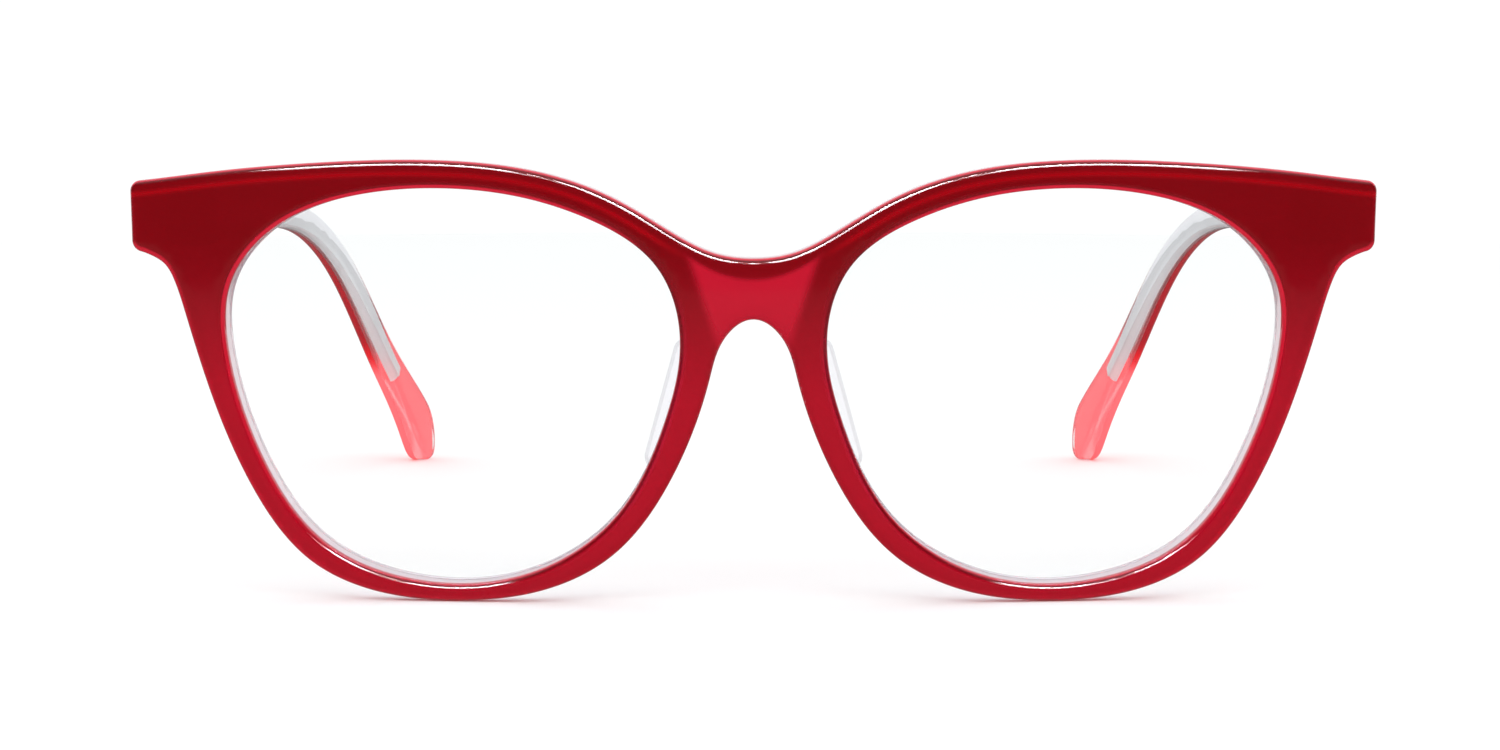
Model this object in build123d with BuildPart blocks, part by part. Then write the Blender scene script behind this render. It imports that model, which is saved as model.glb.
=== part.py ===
from build123d import *
import os
from math import cos, radians, sin, tan

# Laminated acetate eyeglasses, standing open on a table. +Y runs back along the temples, +Z is up
# and +X is the right-hand side seen from the front. The origin is at the middle of the footprint,
# at table height. Lengths are in millimetres and angles in degrees.

# ---- the front -------------------------------------------------------------------------------
FRONT_Y = -71.57           # foremost point of the bridge
FRONT_LEAN = 2.1           # the top of the front leans forward by this angle
TANGENT_HEIGHT = 25.17     # height of the point that the sheet is bent about
WRAP_RADIUS = 320.0        # radius of the outer surface of the bent sheet
RED_THICKNESS = 1.8        # outer layer
CLEAR_THICKNESS = 2.6      # inner layer
FRONT_THICKNESS = RED_THICKNESS + CLEAR_THICKNESS
CORNER_RADIUS = 1.1        # corners of the end pieces
END_PIECE_X = 71.0         # the end pieces' corners are further out than this on the flat sheet
RIM_ROUNDING = 0.45        # edges round each lens, front and back
SHEET_REACH = (3.0, -20.0)  # cutters start this far ahead of the tangent plane and end behind it

# ---- the lenses ------------------------------------------------------------------------------
LENS_DEPTH = 1.2           # from the front surface to the lens
LENS_THICKNESS = 1.8
GROOVE_DEPTH = 0.8         # how far the lens reaches into its rim
LENS_CLEARANCE = 0.03      # between the lens edge and the bottom of the groove

# ---- the temples -----------------------------------------------------------------------------
TEMPLE_SLOPE = 5.3         # fall towards the back
TEMPLE_LENGTH = 143.5      # from butt to tip, along the middle
BEND_START = 81.0          # distance along the temple where the ear bend starts
BEND_RADIUS = 18.5
BEND_ANGLE = 30.5
TOE_IN = 6.4               # turned in from straight back, at the hinge
BOW_RADIUS = 1000.0        # curved inwards on this radius
TEMPLE_OUTER_X = 68.9      # outer face at the butt
TEMPLE_RED = 1.1           # outer layer
TEMPLE_CLEAR = 1.65        # inner layer
TEMPLE_THICKNESS = TEMPLE_RED + TEMPLE_CLEAR
# (distance from the butt, height of the temple there)
TEMPLE_HEIGHTS = ((0, 6.4), (18, 5.4), (45, 4.2), (75, 3.1), (98, 3.05), (120, 3.8), (136, 6.1))
# (distance from the end, height off the middle line), round the tip from top to bottom
TIP_SHAPE = ((-3.3, 2.4), (-0.5, -1.8), (-1.2, -2.7))
BLANK_OVERRUN = 5.0        # the temple blank runs past its butt before it is cut to the front
BLANK_REACH = 45.0         # half the depth of the blanks that the temple is cut from

# ---- the hinges ------------------------------------------------------------------------------
HINGE_X = 63.85            # screw axis
HINGE_Y = FRONT_Y + 13.3
HINGE_Z = 43.03
BUTT_SETBACK = 1.9         # the temple's butt is this far in front of the screw axis
BUTT_GAP = 0.06            # running gap between the front and the butt
KNUCKLE_RADIUS = 1.75
LEAF_THICKNESS = 0.96
LEAF_PITCH = 1.0           # five leaves, three on the front and two on the temple
FRONT_LEAVES = (-2, 0, 2)
TEMPLE_LEAVES = (-1, 1)
KNUCKLE_HEIGHT = 4 * LEAF_PITCH + LEAF_THICKNESS
ARM_WIDTH = 3.0            # between the front plate and its knuckles
ARM_REACH = 3.0
TEMPLE_ARM = (2.2, 2.6)    # between the temple plate and its knuckles
TEMPLE_ARM_PLACE = (1.1, 0.3)
PLATE_WIDTH = 6.0
PLATE_HEIGHT = 6.4
PLATE_THICKNESS = 0.9      # half of it sunk in the clear layer
PLATE_CORNER = 0.8
PLATE_SHIFT = -1.4         # towards the lens
ANCHOR_RADIUS = 0.5
ANCHOR_LENGTH = 1.7
ANCHOR_SPACING = 3.6
TEMPLE_PLATE_START = 0.6   # distances along the temple
TEMPLE_PLATE_END = 10.0
TEMPLE_PLATE_HEIGHT = 4.0
TEMPLE_PLATE_SUNK = 0.75
TEMPLE_PLATE_PROUD = 0.25
SCREW_RADIUS = 0.7
SCREW_CLEARANCE = 0.04     # in the temple's leaves
SCREW_END = 0.2            # past the lowest leaf
HEAD_RADIUS = 1.15
HEAD_HEIGHT = 0.75
HEAD_RECESS = 0.5
SLOT_WIDTH = 0.35
SLOT_DEPTH = 0.35

# ---- the metal cores of the temples ----------------------------------------------------------
# the core's width at distances along the temple, mostly those of TEMPLE_HEIGHTS, so that it bends
# as the acetate around it does
CORE_WIDTHS = ((10, 2.4), (18, 2.4), (45, 2.4), (75, 2.4), (98, 2.16), (120, 1.38), (124, 1.25))
CORE_THICKNESS = 0.9
CORE_COVER = 0.35          # clear acetate between the core and the inner face
CAVITY_LENGTH = 1.6        # pointed hollow ahead of the core's square end

# ---- the nose pads ---------------------------------------------------------------------------
PAD_FOOT = (7.95, -3.6)    # middle of the glued foot, from the tangent point
PAD_FLARE = 1.4            # the top leans this far towards the lens
PAD_FOOT_SIZE = (15.2, 2.8)
PAD_TOP_SIZE = (15.8, 3.5)
PAD_PROUD = 5.2
PAD_SUNK = 0.6             # the blank starts inside the clear layer
PAD_TURN = 105.3           # the pad's length from the front's x, following the nasal rim
PAD_ROUNDING = 1.2

os.makedirs("parts", exist_ok=True)

# ---- reference planes ------------------------------------------------------------------------
lean_sin = sin(radians(FRONT_LEAN))
lean_cos = cos(radians(FRONT_LEAN))
# tangent to the front's outer surface: x to the right, y up the front, z out of the front
front_plane = Plane(
    origin=(0, FRONT_Y, TANGENT_HEIGHT),
    x_dir=(1, 0, 0),
    z_dir=(0, -lean_cos, -lean_sin),
)
wrap_centre = front_plane.offset(-WRAP_RADIUS).origin

slope_sin = sin(radians(TEMPLE_SLOPE))
slope_cos = cos(radians(TEMPLE_SLOPE))
# at the right screw: x to the right, y back along the temple, z up the screw
hinge_plane = Plane(
    origin=(HINGE_X, HINGE_Y, HINGE_Z),
    x_dir=(1, 0, 0),
    z_dir=(0, slope_sin, slope_cos),
)
# side view of the right temple: x back along the temple, y up the screw
side_plane = Plane(origin=hinge_plane.origin, x_dir=hinge_plane.y_dir, z_dir=(1, 0, 0))

# on the back of the front, ahead of the screw: z points back, y up the front
plate_normal = (wrap_centre - hinge_plane.origin).normalized()
plate_reach = (wrap_centre - hinge_plane.origin).length - (WRAP_RADIUS - FRONT_THICKNESS)
plate_plane = Plane(
    origin=hinge_plane.origin + plate_normal * plate_reach,
    x_dir=(plate_normal.Y, -plate_normal.X, 0),
    z_dir=plate_normal,
)

# ---- outlines of the flat sheet --------------------------------------------------------------
# They are drawn about the tangent point, x to the right and y up the front.
with BuildSketch() as front_outline:
    with BuildLine():
        brow = Spline(
            (0, 13.9), (4.4, 14.5), (9.2, 16.85), (15.8, 20.7), (24.4, 23.65), (36, 24.9),
            (50, 24.55), (62, 23.5), (72.25, 22.25),
            tangents=((1, 0), (1, -0.1)),
        )
        side = Line(brow @ 1, (71.85, 14.25))
        underside = Spline(
            side @ 1, (69.6, 13.7), (67.95, 12.75), (66.85, 11.1),
            tangents=((-1, 0), (-0.45, -1)),
        )
        rim = Spline(
            underside @ 1, (65.35, 6.9), (62.0, -3.15), (57.35, -13.3), (50.7, -21.4),
            (42.6, -24.8), (33.6, -25.5), (25.05, -24.45), (16.15, -20.15), (9.35, -11.3),
            (4.9, 0.35), (3.3, 4.8), (0, 7.05),
            tangents=((-0.45, -1), (-1, 0)),
        )
        mirror(about=Plane.YZ)
    make_face()
    fillet(front_outline.vertices().filter_by(lambda v: abs(v.X) > END_PIECE_X), CORNER_RADIUS)

with BuildSketch() as lens_outline:
    with BuildLine():
        Spline(
            (8.25, 5.0), (10.9, 13.0), (18.15, 18.15), (26.2, 20.75), (36.0, 21.72),
            (46.4, 20.6), (55.25, 16.75), (60.2, 10.0), (60.3, 3.0), (56.55, -9.0),
            (49.35, -18.95), (38.2, -23.3), (26.0, -22.35), (15.5, -15.4), (9.9, -4.3),
            periodic=True,
        )
    make_face()

with BuildSketch() as groove_outline:
    add(lens_outline.sketch)
    offset(amount=GROOVE_DEPTH)

with BuildSketch() as lens_edge_outline:
    add(lens_outline.sketch)
    offset(amount=GROOVE_DEPTH - LENS_CLEARANCE)


# ---- helpers ---------------------------------------------------------------------------------
def radial_block(outline):
    """A block through the bent sheet, its walls aimed at the centre of the wrap."""
    with BuildPart() as block:
        for height in SHEET_REACH:
            with BuildSketch(front_plane.offset(height)):
                add(outline)
                scale(by=(WRAP_RADIUS + height) / WRAP_RADIUS, about=(0, 0, 0))
        loft(ruled=True)
    return block.part


def inside_wrap(depth):
    """Everything deeper than this below the front's outer surface."""
    with BuildPart() as ball:
        with Locations(wrap_centre):
            Sphere(WRAP_RADIUS - depth)
    return ball.part


def on_left(part):
    """The mirror image of a right-hand part."""
    return part.mirror(Plane.YZ)


def save_pair(part, name):
    """Write a right-hand piece and its mirror image on the left."""
    for side, piece in (("right", part), ("left", on_left(part))):
        piece.label = f"{side}_{name}"
        export_step(piece, f"parts/{side}_{name}.step")


# ---- lenses ----------------------------------------------------------------------------------
def curved_disc(outline):
    """A disc as thick as the lens, at the lens's place in the bent sheet."""
    with BuildPart() as disc:
        add(radial_block(outline))
        add(inside_wrap(LENS_DEPTH), mode=Mode.INTERSECT)
        add(inside_wrap(LENS_DEPTH + LENS_THICKNESS), mode=Mode.SUBTRACT)
    return disc.part


with BuildPart() as lens:
    add(curved_disc(lens_edge_outline.sketch))
save_pair(lens.part, "lens")


# ---- hinges on the front ---------------------------------------------------------------------
def leaf_plane(index):
    """The underside of one of the five leaves, counted from -2 to 2."""
    return hinge_plane.offset(index * LEAF_PITCH - LEAF_THICKNESS / 2)


head_plane = leaf_plane(FRONT_LEAVES[-1]).offset(LEAF_THICKNESS - HEAD_RECESS)

with BuildPart() as front_hinge:
    for index in FRONT_LEAVES:
        with BuildSketch(leaf_plane(index)):
            Circle(KNUCKLE_RADIUS)
            with Locations((ARM_WIDTH / 2 - KNUCKLE_RADIUS, -ARM_REACH / 2)):
                Rectangle(ARM_WIDTH, ARM_REACH)
        extrude(amount=LEAF_THICKNESS)
    with BuildSketch(plate_plane.offset(-PLATE_THICKNESS / 2)):
        with Locations((PLATE_SHIFT, 0)):
            RectangleRounded(PLATE_WIDTH, PLATE_HEIGHT, PLATE_CORNER)
    extrude(amount=PLATE_THICKNESS)
    with BuildSketch(plate_plane):
        with Locations((PLATE_SHIFT, 0)):
            with GridLocations(ANCHOR_SPACING, 0, 2, 1):
                Circle(ANCHOR_RADIUS)
    extrude(amount=-ANCHOR_LENGTH)
    with BuildSketch(leaf_plane(FRONT_LEAVES[0])):
        Circle(SCREW_RADIUS)
    extrude(amount=KNUCKLE_HEIGHT, mode=Mode.SUBTRACT)
    with BuildSketch(head_plane):
        Circle(HEAD_RADIUS)
    extrude(amount=HEAD_HEIGHT, mode=Mode.SUBTRACT)
save_pair(front_hinge.part, "front_hinge")

with BuildPart() as hinge_screw:
    with BuildSketch(head_plane):
        Circle(SCREW_RADIUS)
    extrude(amount=-(KNUCKLE_HEIGHT - HEAD_RECESS + SCREW_END))
    with BuildSketch(head_plane):
        Circle(HEAD_RADIUS)
    extrude(amount=HEAD_HEIGHT)
    with BuildSketch(head_plane.offset(HEAD_HEIGHT)):
        Rectangle(3 * HEAD_RADIUS, SLOT_WIDTH)
    extrude(amount=-SLOT_DEPTH, mode=Mode.SUBTRACT)
save_pair(hinge_screw.part, "hinge_screw")

# ---- the two layers of the front -------------------------------------------------------------
front_blank = radial_block(front_outline.sketch)
rim_cutters = [radial_block(lens_outline.sketch), curved_disc(groove_outline.sketch)]


def front_layer(near_depth, far_depth):
    """One layer of the front, with the lens openings and the grooves for the lenses."""
    with BuildPart() as layer:
        add(front_blank)
        add(inside_wrap(near_depth), mode=Mode.INTERSECT)
        add(inside_wrap(far_depth), mode=Mode.SUBTRACT)
        for cutter in rim_cutters:
            add(cutter, mode=Mode.SUBTRACT)
            add(on_left(cutter), mode=Mode.SUBTRACT)
    return layer.part


def rim_edges(layer, depth):
    """The edges round both lens openings at this depth."""
    surface = WRAP_RADIUS - depth
    rims = [wire for face in layer.faces().filter_by(GeomType.SPHERE) for wire in face.inner_wires()]
    return [
        edge
        for wire in rims
        for edge in wire.edges()
        if abs((edge @ 0 - wrap_centre).length - surface) < RIM_ROUNDING / 10
    ]


with BuildPart() as front_red_layer:
    add(front_layer(0, RED_THICKNESS))
    fillet(rim_edges(front_red_layer, 0), RIM_ROUNDING)
front_red_layer.part.label = "front_red_layer"
export_step(front_red_layer.part, "parts/front_red_layer.step")

with BuildPart() as front_clear_layer:
    add(front_layer(RED_THICKNESS, FRONT_THICKNESS))
    fillet(rim_edges(front_clear_layer, FRONT_THICKNESS), RIM_ROUNDING)
    add(front_hinge.part, mode=Mode.SUBTRACT)
    add(on_left(front_hinge.part), mode=Mode.SUBTRACT)
front_clear_layer.part.label = "front_clear_layer"
export_step(front_clear_layer.part, "parts/front_clear_layer.step")

# ---- nose pads -------------------------------------------------------------------------------
with BuildPart() as nose_pad:
    with BuildSketch(front_plane.offset(PAD_SUNK - FRONT_THICKNESS)):
        with Locations(PAD_FOOT):
            SlotOverall(*PAD_FOOT_SIZE, rotation=PAD_TURN)
    with BuildSketch(front_plane.offset(-FRONT_THICKNESS - PAD_PROUD)):
        with Locations((PAD_FOOT[0] + PAD_FLARE, PAD_FOOT[1])):
            SlotOverall(*PAD_TOP_SIZE, rotation=PAD_TURN)
    loft()
    fillet(nose_pad.faces().sort_by(Axis.Y)[-1].edges(), PAD_ROUNDING)
    add(inside_wrap(FRONT_THICKNESS), mode=Mode.INTERSECT)
save_pair(nose_pad.part, "nose_pad")

# ---- the line of the temple ------------------------------------------------------------------
bend_length = BEND_RADIUS * radians(BEND_ANGLE)


def side_point(distance, height=0.0):
    """Side-view place at a distance along the temple from its butt, and a height off its middle."""
    turned = min(max(distance - BEND_START, 0), bend_length) / BEND_RADIUS
    before = min(distance, BEND_START)
    after = max(distance - BEND_START - bend_length, 0)
    along = before - BUTT_SETBACK + (BEND_RADIUS + height) * sin(turned) + after * cos(turned)
    up = (BEND_RADIUS + height) * cos(turned) - BEND_RADIUS - after * sin(turned)
    return (along, up)


def plan_point(distance, inset):
    """Plan-view place at a distance back from the butt and an inset from the outer face."""
    turned_in = tan(radians(TOE_IN)) * distance + distance**2 / (2 * BOW_RADIUS)
    return (TEMPLE_OUTER_X - HINGE_X - turned_in - inset, distance - BUTT_SETBACK)


def plan_strip(start, end, outer_inset, inner_inset):
    """Plan view of the temple between two distances and between two insets."""
    stations = (start, (start + end) / 2, end)
    with BuildSketch(hinge_plane) as strip:
        with BuildLine():
            outer = ThreePointArc(*[plan_point(distance, outer_inset) for distance in stations])
            inner = ThreePointArc(*[plan_point(distance, inner_inset) for distance in stations])
            Line(outer @ 0, inner @ 0)
            Line(outer @ 1, inner @ 1)
        make_face()
    return strip.sketch


def temple_piece(side_view, start, end, outer_inset, inner_inset):
    """The part of the temple that has this side view and lies between these insets."""
    with BuildPart() as piece:
        extrude(side_view, amount=BLANK_REACH, both=True)
        strip = plan_strip(start, end, outer_inset, inner_inset)
        extrude(strip, amount=BLANK_REACH, both=True, mode=Mode.INTERSECT)
        add(inside_wrap(FRONT_THICKNESS + BUTT_GAP), mode=Mode.INTERSECT)
    return piece.part


with BuildSketch(side_plane) as temple_side:
    with BuildLine():
        edge = Spline(
            *[side_point(distance, height / 2) for distance, height in TEMPLE_HEIGHTS],
            *[side_point(TEMPLE_LENGTH + distance, height) for distance, height in TIP_SHAPE],
            *[side_point(distance, -height / 2) for distance, height in reversed(TEMPLE_HEIGHTS)],
        )
        half_height = TEMPLE_HEIGHTS[0][1] / 2
        Polyline(edge @ 1, (-BLANK_OVERRUN, -half_height), (-BLANK_OVERRUN, half_height), edge @ 0)
    make_face()


# ---- metal core, with and without the hollow ahead of it -------------------------------------
def core_side(nose):
    """Side view of the core from the hinge plate, its end pointed by this much."""
    with BuildSketch(side_plane) as view:
        with BuildLine():
            upper = Spline(*[side_point(distance, width / 2) for distance, width in CORE_WIDTHS])
            lower = Spline(*[side_point(distance, -width / 2) for distance, width in CORE_WIDTHS])
            Line(upper @ 0, lower @ 0)
            Polyline(upper @ 1, side_point(CORE_WIDTHS[-1][0] + nose), lower @ 1)
        make_face()
    return view.sketch


core_insets = (
    TEMPLE_THICKNESS - CORE_COVER - CORE_THICKNESS,
    TEMPLE_THICKNESS - CORE_COVER,
)
with BuildPart() as temple_core:
    add(temple_piece(core_side(0), 0, TEMPLE_LENGTH, *core_insets))
save_pair(temple_core.part, "temple_core")
core_pocket = temple_piece(core_side(CAVITY_LENGTH), 0, TEMPLE_LENGTH, *core_insets)

# ---- hinges on the temples -------------------------------------------------------------------
with BuildPart() as temple_hinge:
    with BuildSketch(side_plane):
        middle = (TEMPLE_PLATE_START + TEMPLE_PLATE_END) / 2
        with Locations((middle - BUTT_SETBACK, 0)):
            Rectangle(TEMPLE_PLATE_END - TEMPLE_PLATE_START, TEMPLE_PLATE_HEIGHT)
    extrude(amount=BLANK_REACH, both=True)
    plate_plan = plan_strip(
        TEMPLE_PLATE_START, TEMPLE_PLATE_END,
        TEMPLE_THICKNESS - TEMPLE_PLATE_SUNK, TEMPLE_THICKNESS + TEMPLE_PLATE_PROUD,
    )
    extrude(plate_plan, amount=BLANK_REACH, both=True, mode=Mode.INTERSECT)
    for index in TEMPLE_LEAVES:
        with BuildSketch(leaf_plane(index)):
            Circle(KNUCKLE_RADIUS)
            with Locations(TEMPLE_ARM_PLACE):
                Rectangle(*TEMPLE_ARM)
        extrude(amount=LEAF_THICKNESS)
    with BuildSketch(leaf_plane(FRONT_LEAVES[0])):
        Circle(SCREW_RADIUS + SCREW_CLEARANCE)
    extrude(amount=KNUCKLE_HEIGHT, mode=Mode.SUBTRACT)
save_pair(temple_hinge.part, "temple_hinge")

# ---- the two layers of the temples -----------------------------------------------------------
with BuildPart() as temple_red_layer:
    add(temple_piece(temple_side.sketch, -BLANK_OVERRUN, TEMPLE_LENGTH, 0, TEMPLE_RED))
save_pair(temple_red_layer.part, "temple_red_layer")

with BuildPart() as temple_clear_layer:
    add(temple_piece(temple_side.sketch, -BLANK_OVERRUN, TEMPLE_LENGTH, TEMPLE_RED, TEMPLE_THICKNESS))
    add(core_pocket, mode=Mode.SUBTRACT)
    add(temple_hinge.part, mode=Mode.SUBTRACT)
save_pair(temple_clear_layer.part, "temple_clear_layer")
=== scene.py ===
from math import cos, pi, radians, sin, tan

import bpy
import numpy as np
from mathutils import Matrix, Vector
from mathutils.geometry import delaunay_2d_cdt


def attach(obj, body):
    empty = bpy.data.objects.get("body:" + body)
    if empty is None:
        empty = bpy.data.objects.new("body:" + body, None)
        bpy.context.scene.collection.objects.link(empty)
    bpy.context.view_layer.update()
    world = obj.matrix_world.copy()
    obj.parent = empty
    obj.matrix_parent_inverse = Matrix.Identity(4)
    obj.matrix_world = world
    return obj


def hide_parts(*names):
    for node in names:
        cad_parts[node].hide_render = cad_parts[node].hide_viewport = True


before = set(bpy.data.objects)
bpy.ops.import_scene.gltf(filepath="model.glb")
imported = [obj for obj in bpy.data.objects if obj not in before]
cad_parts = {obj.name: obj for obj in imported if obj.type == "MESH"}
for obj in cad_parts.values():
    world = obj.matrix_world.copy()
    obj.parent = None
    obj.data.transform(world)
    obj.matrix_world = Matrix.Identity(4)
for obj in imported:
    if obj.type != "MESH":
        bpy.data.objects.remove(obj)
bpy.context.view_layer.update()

MM = 0.001

# ---- driving dimensions, in millimetres and degrees ------------------------------------------
FRONT_Y = -71.57
FRONT_LEAN = 2.1
TANGENT_HEIGHT = 25.17
WRAP_RADIUS = 320.0
RED_THICKNESS = 1.8
FRONT_THICKNESS = 4.4
CORNER_RADIUS = 1.1
LENS_DEPTH = 1.2
LENS_THICKNESS = 1.8
GROOVE_DEPTH = 0.8
FRONT_ROUNDING = 0.8       # outer edges of the front's red layer
BACK_ROUNDING = 1.0        # outer edges of its clear layer
RIM_ROUNDING = 0.65        # edges of the lens openings
CORNER_CUT = 1.05          # length of a corner's tangents, in its radii
LENS_GAP = 0.03            # between a lens and the bottom of its groove
LENS_BEVEL = 0.15

TEMPLE_SLOPE = 5.3
TEMPLE_LENGTH = 143.5
BEND_START = 81.0
BEND_RADIUS = 18.5
BEND_ANGLE = 30.5
TOE_IN = 6.4
BOW_RADIUS = 1000.0
TEMPLE_OUTER_X = 68.9
TEMPLE_RED = 1.1
TEMPLE_THICKNESS = 2.75
TEMPLE_ROUNDING = 0.7
TEMPLE_HEIGHTS = ((0, 6.4), (18, 5.4), (45, 4.2), (75, 3.1), (98, 3.05), (120, 3.8), (136, 6.1))
TIP_SHAPE = ((-3.3, 2.4), (-0.5, -1.8), (-1.2, -2.7))
HINGE_X = 63.85
HINGE_Y = FRONT_Y + 13.3
HINGE_Z = 43.03
BUTT_SETBACK = 1.9
BUTT_GAP = 0.06

LAP = 0.01                 # neighbouring layers overlap by this, so no faces coincide
OUTLINE_STEP = 0.3         # spacing of points along an outline
FINE_STEP = 0.1            # the same, before an outline is cut to length
GRID_STEP = 1.1            # spacing of the points inside a face
GRID_MARGIN = 0.45         # grid steps kept free of them beside an outline
SHARP_ANGLE = 32.0         # edges that turn by more than this stay crisp
TINY = 1e-6
CDT_EPSILON = 1e-7         # of the triangulation

# ---- the outlines, as on the flat sheet, about the tangent point -----------------------------
BROW = ((0, 13.9), (4.4, 14.5), (9.2, 16.85), (15.8, 20.7), (24.4, 23.65), (36, 24.9),
        (50, 24.55), (62, 23.5), (72.25, 22.25))
BROW_ENDS = ((1, 0), (1, -0.1))      # the directions in which it starts and ends
SIDE = ((72.25, 22.25), (71.85, 14.25))
UNDERSIDE = ((71.85, 14.25), (69.6, 13.7), (67.95, 12.75), (66.85, 11.1))
UNDERSIDE_ENDS = ((-1, 0), (-0.45, -1))
RIM = ((66.85, 11.1), (65.35, 6.9), (62.0, -3.15), (57.35, -13.3), (50.7, -21.4), (42.6, -24.8),
       (33.6, -25.5), (25.05, -24.45), (16.15, -20.15), (9.35, -11.3), (4.9, 0.35), (3.3, 4.8),
       (0, 7.05))
RIM_ENDS = ((-0.45, -1), (-1, 0))
LENS = ((8.25, 5.0), (10.9, 13.0), (18.15, 18.15), (26.2, 20.75), (36.0, 21.72), (46.4, 20.6),
        (55.25, 16.75), (60.2, 10.0), (60.3, 3.0), (56.55, -9.0), (49.35, -18.95), (38.2, -23.3),
        (26.0, -22.35), (15.5, -15.4), (9.9, -4.3))


# ---- curves ----------------------------------------------------------------------------------
def cubic(points, closed=False, tangents=None, samples=60):
    """A smooth curve through the points, sampled densely: a cubic spline in chord length."""
    p = np.array(points, float)
    if closed:
        p = np.vstack([p, p[:1]])
    n = len(p)
    t = np.concatenate([[0], np.cumsum(np.linalg.norm(np.diff(p, axis=0), axis=1))])
    h = np.diff(t)
    a = np.zeros((n, n))
    b = np.zeros((n, 2))
    slope = np.diff(p, axis=0) / h[:, None]
    for i in range(1, n - 1):
        a[i, i - 1], a[i, i], a[i, i + 1] = h[i], 2 * (h[i - 1] + h[i]), h[i - 1]
        b[i] = 3 * (h[i] * slope[i - 1] + h[i - 1] * slope[i])
    if closed:
        a[0, 0], a[0, 1], a[0, n - 2] = 2 * (h[-1] + h[0]), h[-1], h[0]
        b[0] = 3 * (h[0] * slope[-1] + h[-1] * slope[0])
        a[n - 1, n - 1], a[n - 1, 0] = 1, -1
    elif tangents:
        a[0, 0] = a[n - 1, n - 1] = 1
        b[0], b[-1] = (np.array(v, float) / np.linalg.norm(v) for v in tangents)
    else:
        a[0, 0], a[0, 1], b[0] = 2, 1, 3 * slope[0]
        a[n - 1, n - 1], a[n - 1, n - 2], b[-1] = 2, 1, 3 * slope[-1]
    m = np.linalg.solve(a, b)
    out = []
    for i in range(n - 1):
        s = np.linspace(0, 1, samples, endpoint=False)[:, None]
        h00, h10 = 2 * s**3 - 3 * s**2 + 1, s**3 - 2 * s**2 + s
        h01, h11 = -2 * s**3 + 3 * s**2, s**3 - s**2
        out.append(h00 * p[i] + h10 * h[i] * m[i] + h01 * p[i + 1] + h11 * h[i] * m[i + 1])
    if not closed:
        out.append(p[-1:])
    return np.vstack(out)


def resample(line, step):
    """The same line with evenly spaced points, both ends kept."""
    d = np.concatenate([[0], np.cumsum(np.linalg.norm(np.diff(line, axis=0), axis=1))])
    count = max(2, int(round(d[-1] / step)) + 1)
    at = np.linspace(0, d[-1], count)
    return np.stack([np.interp(at, d, line[:, k]) for k in range(line.shape[1])], 1)


def trimmed(line, start, end):
    """The line without its first and last stretches of these lengths."""
    d = np.concatenate([[0], np.cumsum(np.linalg.norm(np.diff(line, axis=0), axis=1))])
    keep = (d > start) & (d < d[-1] - end)
    ends = [np.array([np.interp(v, d, line[:, k]) for k in range(2)]) for v in (start, d[-1] - end)]
    return np.vstack([ends[0], line[keep], ends[1]])


def corner_arc(a, corner, b, count=9):
    """Points of the arc that meets the lines a-corner and corner-b at equal distances."""
    s = np.linspace(0, 1, count + 2)[1:-1, None]
    u, v = a - corner, b - corner
    half = 0.5 * np.arccos(np.dot(u, v) / (np.linalg.norm(u) * np.linalg.norm(v)))
    w = sin(half)              # a rational quadratic with this weight is a circular arc
    top = (1 - s) ** 2 * a + 2 * w * s * (1 - s) * corner + s**2 * b
    return top / ((1 - s) ** 2 + 2 * w * s * (1 - s) + s**2)


def front_outline():
    """The outer outline, anticlockwise seen from the front, starting at the top of the bridge."""
    cut = CORNER_RADIUS * CORNER_CUT
    brow = trimmed(cubic(BROW, tangents=BROW_ENDS), 0, cut)
    side = trimmed(resample(np.array(SIDE, float), FINE_STEP), cut, cut)
    under = cubic(UNDERSIDE, tangents=UNDERSIDE_ENDS)
    rim = cubic(RIM, tangents=RIM_ENDS)
    under = trimmed(under, cut, 0)
    upper = corner_arc(brow[-1], np.array(SIDE[0]), side[0])
    lower = corner_arc(side[-1], np.array(SIDE[1]), under[0])
    parts = [
        resample(brow, OUTLINE_STEP), upper, resample(side, OUTLINE_STEP), lower,
        resample(np.vstack([under, rim[1:]]), OUTLINE_STEP),
    ]
    right = np.vstack(parts)
    left = right[-2:0:-1] * (-1, 1)
    loop = np.vstack([right, left])
    return loop[::-1]


def lens_loop():
    """The right lens opening, anticlockwise seen from the front."""
    line = cubic(LENS, closed=True)
    line = resample(np.vstack([line, line[:1]]), OUTLINE_STEP)[:-1]
    return line if area(line) > 0 else line[::-1]


def area(loop):
    """The signed area of a loop, which is positive when it runs anticlockwise."""
    x, y = loop[:, 0], loop[:, 1]
    return 0.5 * float(np.sum(x * np.roll(y, -1) - np.roll(x, -1) * y))


def inward(loop):
    """Unit normals of an anticlockwise loop, pointing into it."""
    d = np.roll(loop, -1, axis=0) - np.roll(loop, 1, axis=0)
    n = np.stack([-d[:, 1], d[:, 0]], 1)
    return n / np.linalg.norm(n, axis=1)[:, None]


def below_brow(points):
    """Distances of flat points from the top edge of the front."""
    brow = resample(cubic(BROW, tangents=BROW_ENDS), OUTLINE_STEP)
    right_half = np.abs(points[:, :1])
    folded = np.hstack([right_half, points[:, 1:]])
    return np.array([np.sqrt(np.min(np.sum((brow - point) ** 2, axis=1))) for point in folded])


def inside(loop, points):
    """Which points lie inside the loop, by counting crossings."""
    x, y = points[:, 0][:, None], points[:, 1][:, None]
    ax, ay = loop[:, 0][None], loop[:, 1][None]
    bx, by = np.roll(loop[:, 0], -1)[None], np.roll(loop[:, 1], -1)[None]
    crosses = (ay > y) != (by > y)
    at = ax + (y - ay) * (bx - ax) / np.where(by == ay, TINY**2, by - ay)
    return (np.sum(crosses & (x < at), axis=1) % 2) == 1


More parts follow.
